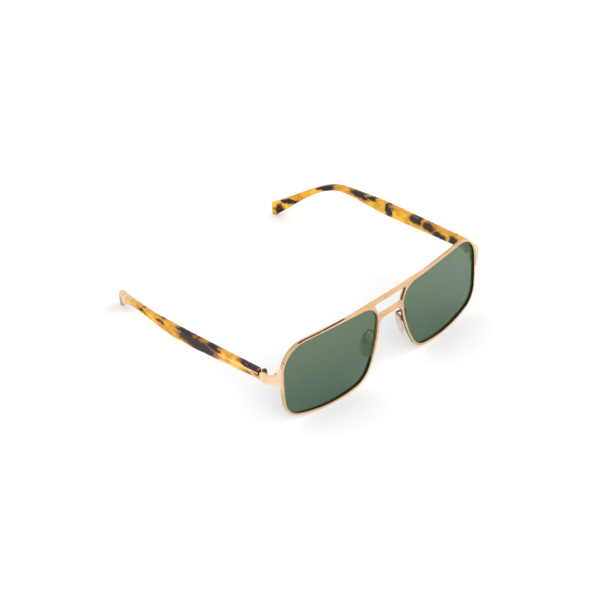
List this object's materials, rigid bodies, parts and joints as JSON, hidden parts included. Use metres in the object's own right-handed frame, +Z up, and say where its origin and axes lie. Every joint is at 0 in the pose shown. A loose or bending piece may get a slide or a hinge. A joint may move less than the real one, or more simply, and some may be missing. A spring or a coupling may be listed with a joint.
{
  "type": "sunglasses",
  "caption": "Double-bridge squared aviator sunglasses with tinted lenses, adjustable nose pads and folding acetate temples.",
  "frame": {"origin": "centre of the bounding box on the surface the open glasses rest on", "axes": "+X to the wearer's left, -Y the way the wearer looks, +Z up"},
  "size_m": [0.149, 0.1342, 0.0455],
  "materials": {
    "satin_copper": "satin",
    "dark_copper": "satin",
    "champagne": "satin",
    "hinge_metal": "satin",
    "screw_steel": "satin",
    "inlay_metal": "polished",
    "core_metal": "satin",
    "tinted_lens": "gloss",
    "clear_pad": "gloss",
    "tortoiseshell": "gloss"
  },
  "bodies": {
    "front": {"front_plate": "satin_copper", "left_eyewire": "dark_copper", "left_lens": "tinted_lens", "left_endpiece": "champagne", "left_rim_lock_upper": "dark_copper", "left_rim_lock_lower": "dark_copper", "left_rim_lock_screw": "screw_steel", "left_hinge_front_leaf": "hinge_metal", "left_hinge_screw": "screw_steel", "left_pad_arm": "dark_copper", "left_pad_box": "dark_copper", "left_pad_screw": "screw_steel", "right_eyewire": "dark_copper", "right_lens": "tinted_lens", "right_endpiece": "champagne", "right_rim_lock_upper": "dark_copper", "right_rim_lock_lower": "dark_copper", "right_rim_lock_screw": "screw_steel", "right_hinge_front_leaf": "hinge_metal", "right_hinge_screw": "screw_steel", "right_pad_arm": "dark_copper", "right_pad_box": "dark_copper", "right_pad_screw": "screw_steel"},
    "left_temple": {"left_temple": "tortoiseshell", "left_temple_inlay": "inlay_metal", "left_temple_core": "core_metal", "left_hinge_temple_leaf": "hinge_metal"},
    "left_pad": {"left_nose_pad": "clear_pad"},
    "right_temple": {"right_temple": "tortoiseshell", "right_temple_inlay": "inlay_metal", "right_temple_core": "core_metal", "right_hinge_temple_leaf": "hinge_metal"},
    "right_pad": {"right_nose_pad": "clear_pad"}
  },
  "joints": [
    {"name": "left_temple_fold", "type": "hinge", "parent": "front", "child": "left_temple", "pos_m": [0.07115, -0.05145, 0.02756], "axis": [0, 0.0454, 0.999], "range_deg": [0, 83]},
    {"name": "right_temple_fold", "type": "hinge", "parent": "front", "child": "right_temple", "pos_m": [-0.07115, -0.05145, 0.02756], "axis": [0, -0.0454, -0.999], "range_deg": [0, 73]},
    {"name": "left_pad_rock", "type": "hinge", "parent": "front", "child": "left_pad", "pos_m": [0.01341, -0.06184, 0.02077], "axis": [0.4067, 0.9126, -0.0414], "range_deg": [-6, 6]},
    {"name": "right_pad_rock", "type": "hinge", "parent": "front", "child": "right_pad", "pos_m": [-0.01341, -0.06184, 0.02077], "axis": [-0.4067, 0.9126, -0.0414], "range_deg": [-6, 6]}
  ]
}
